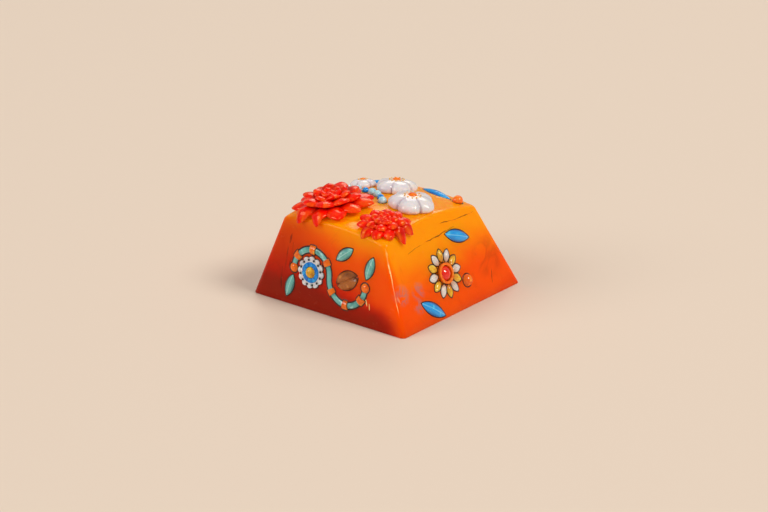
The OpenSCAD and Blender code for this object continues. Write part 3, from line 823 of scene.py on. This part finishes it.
def add_step(piece, tree, **values):
    """Adds a Geometry Nodes modifier and sets its inputs by their identifiers."""
    step = piece.modifiers.new(tree.name, "NODES")
    step.node_group = tree
    for item in tree.interface.items_tree:
        label = item.name.replace(" ", "_")
        if item.item_type == "SOCKET" and item.in_out == "INPUT" and label in values:
            step[item.identifier] = values[label]


def empty_piece(name):
    return add_object(name, bpy.data.meshes.new(name))


def combined(**parts):
    """One vector from its parts X, Y and Z."""
    return wire(tree_of(*parts.values()), "ShaderNodeCombineXYZ", **parts).outputs[0]


# Ring of like parts: a template is set round a circle, tilted and varied a little, and joined on.
ring_tree, ring_in, ring_out = new_tree(
    "ring_of_parts",
    "GeometryNodeTree",
    {
        "Geometry": "Geometry",
        "Part": "Object",
        "Count": 12,
        "Start": mm,
        "Lift": 0.0,
        "Turn": 0.0,
        "Tilt": 0.0,
        "Size": (1, 1, 1),
        "Unevenness": 0.1,
        "Seed": 1,
        "Finish": "Material",
    },
    {"Geometry": "Geometry"},
)
ring_circle = wire(ring_tree, "GeometryNodeMeshCircle", Vertices=ring_in["Count"], Radius=ring_in["Start"])
ring_placed = wire(
    ring_tree,
    "GeometryNodeTransform",
    Geometry=ring_circle.outputs[0],
    Translation=combined(Z=ring_in["Lift"]),
    Rotation=combined(Z=ring_in["Turn"]),
)
ring_x, ring_y, _ = axes_of(ring_tree.nodes.new("GeometryNodeInputPosition").outputs[0])


def varied(seed_shift, amount):
    """A random number for each part, from minus to plus the Unevenness times amount."""
    seed = plus(ring_in["Seed"], float(seed_shift))
    draw = wire(ring_tree, "FunctionNodeRandomValue", _2=-amount, _3=amount, Seed=seed)
    return times(draw.outputs[1], ring_in["Unevenness"])


part_turn = plus(numbers("ARCTAN2", ring_y, ring_x), varied(1, 0.6))
part_tilt = minus(varied(2, 1.0), ring_in["Tilt"])
ring_template = wire(ring_tree, "GeometryNodeObjectInfo", Object=ring_in["Part"])
ring_instances = wire(
    ring_tree,
    "GeometryNodeInstanceOnPoints",
    Points=ring_placed.outputs[0],
    Instance=ring_template.outputs["Geometry"],
    Rotation=combined(X=varied(3, 1.6), Y=part_tilt, Z=part_turn),
    Scale=vectors("SCALE", ring_in["Size"], Scale=plus(varied(4, 0.7), 1.0)),
)
ring_real = wire(ring_tree, "GeometryNodeRealizeInstances", _0=ring_instances.outputs[0])
ring_finish = {"Geometry": ring_real.outputs[0], "Material": ring_in["Finish"]}
ring_finished = wire(ring_tree, "GeometryNodeSetMaterial", **ring_finish)
ring_joined = wire(ring_tree, "GeometryNodeJoinGeometry", _0=ring_finished.outputs[0])
feed(ring_joined, _0=ring_in["Geometry"])
feed(ring_out, _0=ring_joined.outputs[0])

# Fall over the edge: points past the edge of the top sink by the droop for each mm they pass it,
# and every petal sags a little towards its tip.
fall_tree, fall_in, fall_out = new_tree(
    "fall_over_edge",
    "GeometryNodeTree",
    {
        "Geometry": "Geometry",
        "Place": (0, 0, 0),
        "Middle": top_middle,
        "Half Width": top_half,
        "Half Depth": top_half_depth,
        "Droop": petal_droop,
        "Reach": 4 * mm,
        "Sag": 0.1,
    },
    {"Geometry": "Geometry"},
)
fall_spot = fall_tree.nodes.new("GeometryNodeInputPosition").outputs[0]
spot_x, spot_y, _ = axes_of(fall_spot)
fall_x, fall_y, _ = axes_of(vectors("ADD", fall_spot, fall_in["Place"]))
past_side = minus(numbers("ABSOLUTE", fall_x), fall_in["Half Width"])
past_end = minus(numbers("ABSOLUTE", minus(fall_y, fall_in["Middle"])), fall_in["Half Depth"])
past = numbers("MAXIMUM", numbers("MAXIMUM", past_side, past_end), 0.0)
spot_share = numbers("DIVIDE", vectors("LENGTH", combined(X=spot_x, Y=spot_y)), fall_in["Reach"])
sag = times(times(numbers("POWER", spot_share, 2.0), fall_in["Reach"]), fall_in["Sag"])
fall_shift = combined(Z=times(plus(times(past, fall_in["Droop"]), sag), -1.0))
fallen = wire(fall_tree, "GeometryNodeSetPosition", Geometry=fall_in["Geometry"], Offset=fall_shift)
feed(fall_out, _0=fallen.outputs[0])


def shader_of(finish):
    return finish.node_tree.nodes["Principled BSDF"]


def colour_of(finish):
    """The colour that now feeds a finish's shader."""
    return shader_of(finish).inputs["Base Color"].links[0].from_socket


def mark(finish, name):
    """The number that mark_points stored under a name."""
    return wire(finish.node_tree, "ShaderNodeAttribute", {"attribute_name": name}).outputs["Fac"]


def streaks(finish, spread, low, high):
    """A mask of fine streaks that run the length of a petal or leaf."""
    drift_along = times(axes_of(object_place(finish.node_tree))["X"], 300.0)
    place = combined(X=mark(finish, "along"), Y=times(mark(finish, "across"), spread), Z=drift_along)
    return smooth_between(noise(place, 2.4), low, high)


# The petals' red darkens to the root in painted shade, and has orange streaks towards the tip that are
# partly the resin's own colour and partly painted highlight.
petal_root_shade = (0.11, 0.002, 0.001)
petal_orange_highlight = (1.0, 0.17, 0.008)
reds = ((0.55, 0.001, 0.0), (0.98, 0.004, 0.0), (1.0, 0.025, 0.0))
red_resin = resin("red_petal_resin", *reds, grain=420.0, gloss=0.12, glow=0.2, relief=0.25, coat=0.1)
red_along = mark(red_resin, "along")
red_root_shaded = blend_colours(smooth_between(red_along, 0.1, 0.7), petal_root_shade, colour_of(red_resin))
red_streaks_and_highlights = times(streaks(red_resin, 1.5, 0.42, 0.66), smooth_between(red_along, 0.4, 0.95))
feed(
    shader_of(red_resin),
    Base_Color=blend_colours(times(red_streaks_and_highlights, 0.7), red_root_shaded, petal_orange_highlight),
    Subsurface_Radius=(1.0, 0.15, 0.05),
    Specular_IOR_Level=0.45,
    Specular_Tint=(1.0, 0.55, 0.22),
)

petal = petal_template()
for name, place, reach, turn, seed in (
    ("large_red_bloom", large_place, large_reach, 8, 3),
    ("small_red_bloom", small_place, small_reach, 14, 8),
):
    bloom = empty_piece(name + "_petals")
    for ring, (count, start, length, width, tilt, lift) in enumerate(petal_rings):
        add_step(
            bloom,
            ring_tree,
            Part=petal,
            Count=count,
            Start=start * reach,
            Lift=lift * reach,
            Turn=math.radians(turn + ring_twist * start / count),
            Tilt=math.radians(tilt),
            Size=(length * reach, width * reach, petal_thickness * (1 - petal_thinning * ring)),
            Unevenness=petal_unevenness,
            Seed=seed + ring,
            Finish=red_resin,
        )
    add_step(
        bloom,
        fall_tree,
        Place=(*place, 0.0),
        Middle=top_middle,
        Half_Width=top_half,
        Half_Depth=top_half_depth,
        Droop=petal_droop,
        Reach=reach,
        Sag=petal_sag,
    )
    settle(bloom)
    bloom.data.transform(crown_frame(place))
    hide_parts(name)
    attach(bloom, "root")
bpy.data.objects.remove(petal)

# White blossoms: three domes of white resin with five lobes, each with a round orange eye in its top
# and a ring of small stamens round the eye. They are cast and bonded to the crown, with painted shade in
# lilac in their creases.
lobe_count = 5
lobe_cut = 0.22
white_rise = 0.52
bead_radius = 0.4 * mm
string_reach = large_reach + spacing + bead_radius
behind_string = string_reach + bead_radius + spacing
white_sizes = {"large": 2.2 * mm, "middle": 2.0 * mm, "small": 1.3 * mm}
white_places = {
    "large": off(small_place, small_reach + spacing + white_sizes["large"], 99),
    "middle": off(large_place, behind_string + white_sizes["middle"], 74),
    "small": off(large_place, behind_string + white_sizes["small"], 104),
}
white_turns = {"large": 10, "middle": 40, "small": 25}
dome_tilts = (-25, -18, -9, 0, 9, 18, 27, 36, 45, 54, 63, 71, 78, 84, 88)


def blossom_dome(name, reach):
    """The five-lobed dome, with its lobes full and its creases drawn in and down."""
    around = 120
    fullness = 0.7
    shoulder, crown_share, skirt_share = 0.26, 0.74, 0.62
    crease_sharpness = 0.6
    ruffle_depth, ruffles_per_lobe = 0.012, 4
    rings = []
    for tilt in dome_tilts:
        out = math.cos(math.radians(tilt)) ** fullness
        rise = shoulder + math.sin(math.radians(tilt)) * (crown_share if tilt > 0 else skirt_share)
        ring = []
        for step in range(around):
            turn = math.tau * step / around
            lobe = abs(math.cos(turn * lobe_count / 2))
            ruffle = ruffle_depth * math.sin(turn * lobe_count * ruffles_per_lobe) * lobe * out**3
            cut = 1 - lobe_cut * (1 - lobe**crease_sharpness) * out**2 + ruffle
            across = reach * out * cut
            height = reach * white_rise * rise * cut
            ring.append(Vector((across * math.cos(turn), across * math.sin(turn), height)))
        rings.append(ring)
    dome = lofted(name, rings, (0, 0, 0), (0, 0, reach * white_rise))
    shade(dome, white_resin)
    mark_points(
        dome,
        along=lambda point: point.xy.length / reach,
        across=lambda point: math.asin(math.sin(math.atan2(point.y, point.x) * lobe_count / 2)) / math.pi * 2,
    )
    return dome


# The white has painted shade in lilac in its creases, pink veins and an orange throat round the eye.
crease_shade_lilac = (0.46, 0.36, 0.46)
vein_pink = (0.62, 0.42, 0.50)
throat_orange = (0.90, 0.46, 0.16)
whites = ((0.66, 0.62, 0.70), (0.80, 0.77, 0.79), (0.86, 0.84, 0.82))
white_resin = resin("white_resin", *whites, grain=420.0, gloss=0.16, glow=0.25, coat=0.5)
white_along = mark(white_resin, "along")
white_across = numbers("ABSOLUTE", mark(white_resin, "across"))
creases = times(smooth_between(white_across, 0.78, 1.0), smooth_between(white_along, 0.15, 0.6))
white_crease_shaded = blend_colours(times(creases, 0.6), colour_of(white_resin), crease_shade_lilac)
white_veins = times(streaks(white_resin, 7.0, 0.54, 0.7), smooth_between(white_along, 1.0, 0.3))
white_veined = blend_colours(times(white_veins, 0.4), white_crease_shaded, vein_pink)
throat = times(smooth_between(white_along, 0.5, 0.2), 0.55)
feed(shader_of(white_resin), Base_Color=blend_colours(throat, white_veined, throat_orange))

orange_resin = resin("orange_resin", (0.70, 0.06, 0.0), (1.0, 0.19, 0.004), (1.0, 0.42, 0.04), grain=1100.0)
pollen_resin = resin("pollen_resin", (0.70, 0.20, 0.01), (0.95, 0.48, 0.03), (1.0, 0.70, 0.16), grain=2200.0)
# A stamen is a thin stalk with a fat head, in shares of its thickness.
stamen_sides = 12
stamen_profile = ((0.5, 0.0), (0.42, 0.4), (0.7, 0.62), (1.0, 0.95), (0.9, 1.35), (0.5, 1.6))
stamen_rings = [circle(radius, height, stamen_sides) for radius, height in stamen_profile]
stamen = lofted("stamen", stamen_rings, (0, 0, -0.1), (0, 0, 1.68))
shade(stamen)

for size, reach in white_sizes.items():
    seat = crown_frame(white_places[size], white_turns[size])
    dome = blossom_dome(size + "_blossom_petals", reach)
    dome.data.transform(seat)
    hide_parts(size + "_white_blossom")
    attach(dome, "root")
    stamens = empty_piece(size + "_blossom_stamens")
    add_step(
        stamens,
        ring_tree,
        Part=stamen,
        Count=11,
        Start=reach * 0.33,
        Lift=reach * white_rise * 0.93,
        Tilt=math.radians(-22),
        Size=(reach * 0.036, reach * 0.036, reach * 0.042),
        Unevenness=0.18,
        Seed=5,
        Finish=pollen_resin,
    )
    settle(stamens)
    stamens.data.transform(seat)
    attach(stamens, "root")
bpy.data.objects.remove(stamen)


def dress(node, finish, sharp=40):
    """Shows a CAD node's own form in its real finish."""
    piece = merged_copy(node + "_dressed", node)
    shade(piece, finish, sharp)
    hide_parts(node)
    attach(piece, "root")


for size in white_sizes:
    dress(size + "_blossom_eye", orange_resin)

# Bead string: pale blue beads with a smaller blue one after every second, each pressed into its own cup
# behind the large bloom. An amber bead sits alone at the back right.
pale_blue_resin = resin(
    "pale_blue_resin", (0.22, 0.50, 0.68), (0.44, 0.72, 0.82), (0.72, 0.88, 0.92), grain=1500.0, gloss=0.1
)
blue_resin = resin(
    "blue_resin", (0.0, 0.12, 0.55), (0.0, 0.26, 0.80), (0.03, 0.50, 0.92), grain=1200.0, gloss=0.1
)
dress("pale_beads", pale_blue_resin)
dress("blue_beads", blue_resin)
dress("amber_bead", orange_resin)

# Blades: the leaves and the daisy's petals. Each is a thin lens of resin with a raised middle, a midrib
# and side veins pressed in with a needle, and it fills a slot of its own outline.
blade_sink = 0.2 * mm
blade_flank = 4
rib_width = 0.13
veins_along = 7.0
vein_slant = 4.0
vein_share = 0.55
leaf_width = 1.05 * mm
leaf_rise = 0.3 * mm
long_leaf = 4.4 * mm
short_leaf = 3.6 * mm
long_leaf_place = off(white_places["small"], white_sizes["small"] + leaf_width + 2 * spacing, 70)
short_leaf_place = off(white_places["middle"], white_sizes["middle"] + short_leaf / 2, 41)


def blade(length, width, rise, place, rib=0.25):
    """One blade along X, its rim flush with the wall, as a closed skin with marks along and across."""
    stations, around = 30, 24
    half_length, half_width = length / 2, width / 2
    arc = (half_length**2 + half_width**2) / (2 * half_width)
    rings = []
    for step in range(1, stations):
        share = -1 + 2 * step / stations
        half = math.sqrt(arc**2 - (share * half_length) ** 2) - (arc - half_width)
        ring = []
        for i in range(around):
            turn = math.tau * i / around
            side, up = math.cos(turn), math.sin(turn)
            groove = rib * math.exp(-((side / rib_width) ** 2)) * (1 - share**4)
            if up >= 0:
                height = rise * (1 - share**2) * (1 - side**2) * (1 - groove)
            else:
                height = -blade_sink * min(1.0, blade_flank * abs(up))
            ring.append(Vector((share * half_length, half * side, height)))
        rings.append(ring)
    piece = lofted("blade", rings, (-half_length, 0, -blade_sink), (half_length, 0, -blade_sink))
    shade(piece)
    mark_points(piece, along=lambda point: point.x / half_length, across=lambda point: point.y / half_width)
    piece.data.transform(place)
    return piece


def leaf_colour(finish, vein, rim):
    """Pale veins and a darker rim on a leaf's resin: a midrib and side veins that slant from it."""
    along = mark(finish, "along")
    across = numbers("ABSOLUTE", mark(finish, "across"))
    slant = minus(times(along, veins_along), times(across, vein_slant))
    from_vein = numbers("ABSOLUTE", minus(numbers("FRACT", slant), 0.5))
    side_veins = smooth_between(from_vein, 0.1, 0.02)
    veins = times(numbers("MAXIMUM", side_veins, smooth_between(across, 0.12, 0.04)), vein_share)
    rimmed = blend_colours(smooth_between(across, 0.5, 0.95), colour_of(finish), rim)
    feed(shader_of(finish), Base_Color=blend_colours(veins, rimmed, vein))


def show_blades(name, nodes, blades, finish):
    """Joins blades into one piece and shows it in place of the CAD nodes."""
    shaper = bmesh.new()
    for piece in blades:
        shaper.from_mesh(piece.data)
    whole = empty_piece(name)
    shaper.to_mesh(whole.data)
    shaper.free()
    for piece in blades:
        bpy.data.objects.remove(piece)
    shade(whole, finish, 50)
    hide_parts(*nodes)
    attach(whole, "root")


blue_leaf_resin = resin(
    "blue_leaf_resin", (0.0, 0.16, 0.62), (0.0, 0.33, 0.86), (0.06, 0.58, 0.95), gloss=0.1
)
leaf_colour(blue_leaf_resin, (0.30, 0.75, 0.95), (0.002, 0.12, 0.50))
for size, length, place, turn in (
    ("long", long_leaf, long_leaf_place, 18),
    ("short", short_leaf, short_leaf_place, -6),
):
    leaf = blade(length, leaf_width, leaf_rise, crown_frame(place, turn))
    show_blades(size + "_leaf_blade", [size + "_blue_leaf"], [leaf], blue_leaf_resin)

# Vine: a teal rod of resin bent into an arch and a bowl and pressed into the front wall to three
# quarters of its thickness. Orange bands are wrapped round it and berries close its two ends.
bend_radius = 2.1 * mm
vine_height = 3.6 * mm
berry_radius = 0.55 * mm
vine_leaf = 2.3 * mm
vine_leaf_width = 0.95 * mm
vine_leaf_rise = 0.2 * mm
# Each leaf's place along the wall and up it, and its turn in degrees.
vine_leaf_places = [
    (0.75 * bend_radius, vine_height + bend_radius + 0.45 * mm, 38),
    (2 * bend_radius + 0.35 * mm, vine_height + berry_radius + vine_leaf / 2 + 0.2 * mm, 74),
    (-2 * bend_radius - 0.35 * mm, vine_height - berry_radius - vine_leaf / 2 - 0.1 * mm, 74),
]
teal_resin = resin(
    "teal_resin", (0.05, 0.26, 0.26), (0.16, 0.50, 0.47), (0.45, 0.78, 0.74), grain=700.0, gloss=0.1
)
dress("vine", teal_resin)
dress("vine_bands", orange_resin)
dress("vine_berries", orange_resin)


def wall_frame(wall, along, up, degrees=0.0):
    return wall @ Matrix.Translation((along, up, 0)) @ turned(degrees)


teal_leaf_resin = resin(
    "teal_leaf_resin", (0.05, 0.30, 0.28), (0.14, 0.50, 0.46), (0.40, 0.74, 0.68), grain=800.0, gloss=0.1
)
leaf_colour(teal_leaf_resin, (0.55, 0.85, 0.80), (0.03, 0.20, 0.20))
vine_leaf_frames = [wall_frame(front_wall, *place) for place in vine_leaf_places]
vine_leaves = [blade(vine_leaf, vine_leaf_width, vine_leaf_rise, place) for place in vine_leaf_frames]
show_blades("vine_leaf_blades", ["vine_leaves"], vine_leaves, teal_leaf_resin)

# Pod: a flat brown seed pod of resin lying in the bowl of the vine, with a groove down its back.
# It is cast on its own, rubbed matt and bonded into its slot.
browns = ((0.16, 0.035, 0.004), (0.42, 0.12, 0.012), (0.62, 0.22, 0.03))
brown_resin = resin("brown_resin", *browns, grain=600.0, gloss=0.22, coat=0.4)
dress("brown_pod", brown_resin, 30)

# Aster: a scalloped white rim, a blue ring with pressed rays, a domed yellow eye and black seeds,
# set into one another and then into the front wall under the arch.
rim_whites = ((0.50, 0.55, 0.66), (0.78, 0.78, 0.80), (0.84, 0.83, 0.81))
rim_resin = resin("rim_resin", *rim_whites, grain=700.0, gloss=0.16, coat=0.5)
yellow_resin = resin("yellow_resin", (0.55, 0.20, 0.008), (0.88, 0.50, 0.02), (1.0, 0.72, 0.10), grain=1500.0)
black_resin = resin(
    "black_resin", (0.004, 0.004, 0.006), (0.012, 0.012, 0.018), (0.05, 0.05, 0.07), gloss=0.12, glow=0.0
)
dress("aster_rim", rim_resin, 30)
dress("aster_ring", blue_resin, 30)
dress("aster_eye", yellow_resin)
dress("aster_seeds", black_resin)

# Daisy: twelve petals, white and yellow in turn, round an orange collar that holds a domed red button.
# All are set into the right wall, with two blue leaves and an orange bud beside them.
daisy_reach = 2.3 * mm
daisy_height = 3.9 * mm
daisy_front = 1.2 * mm
button_radius = 0.72 * mm
collar_width = 0.26 * mm
bond = 0.02 * mm
ray_count = 12
ray_rise = 0.2 * mm
ray_rib = 0.45
ray_fill = 0.86
collar_radius = button_radius + collar_width
ray_length = daisy_reach - collar_radius - 2 * bond
ray_middle = collar_radius + 2 * bond + ray_length / 2
ray_width = math.tau * ray_middle / ray_count * ray_fill
side_leaf = 3.4 * mm
side_leaf_width = 1.15 * mm
side_leaf_rise = 0.24 * mm
side_leaf_out = daisy_reach + side_leaf / 2 + spacing / 2
daisy_frame = wall_frame(side_wall, -daisy_front, daisy_height)


def beside_daisy(around, out):
    """The daisy's frame turned round its middle by degrees and moved outwards."""
    return daisy_frame @ turned(around) @ Matrix.Translation((out, 0, 0))


def rays(first):
    """Every second petal of the daisy, from the first."""
    places = [beside_daisy(360 * i / ray_count, ray_middle) for i in range(first, ray_count, 2)]
    return [blade(ray_length, ray_width, ray_rise, place, ray_rib) for place in places]


def ray_colour(finish, root):
    """Streaks and a root of another colour on a daisy petal's resin."""
    streaked = blend_colours(times(streaks(finish, 5.0, 0.5, 0.66), 0.45), colour_of(finish), root)
    rooted = blend_colours(smooth_between(mark(finish, "along"), 0.2, -1.0), streaked, root)
    feed(shader_of(finish), Base_Color=rooted)


white_ray_resin = resin("white_ray_resin", (0.66, 0.62, 0.62), (0.80, 0.77, 0.75), (0.86, 0.84, 0.82))
yellow_ray_resin = resin("yellow_ray_resin", (0.72, 0.32, 0.01), (0.92, 0.58, 0.04), (1.0, 0.76, 0.14))
button_resin = resin(
    "button_resin", (0.45, 0.004, 0.002), (0.85, 0.018, 0.004), (1.0, 0.08, 0.01), gloss=0.08, coat=0.8
)
ray_colour(white_ray_resin, (0.62, 0.36, 0.22))
ray_colour(yellow_ray_resin, (0.62, 0.20, 0.01))
show_blades("white_ray_blades", ["daisy_white_petals"], rays(0), white_ray_resin)
show_blades("yellow_ray_blades", ["daisy_yellow_petals"], rays(1), yellow_ray_resin)
dress("daisy_collar", orange_resin, 30)
dress("daisy_button", button_resin)

side_leaves = []
for around, share, turn in ((42, 1.0, -62), (222, 0.94, -78)):
    place = beside_daisy(around, side_leaf_out * share) @ turned(turn)
    side_leaves.append(blade(side_leaf, side_leaf_width, side_leaf_rise, place))
show_blades("side_leaf_blades", ["side_leaves"], side_leaves, blue_leaf_resin)
dress("side_bud", orange_resin)
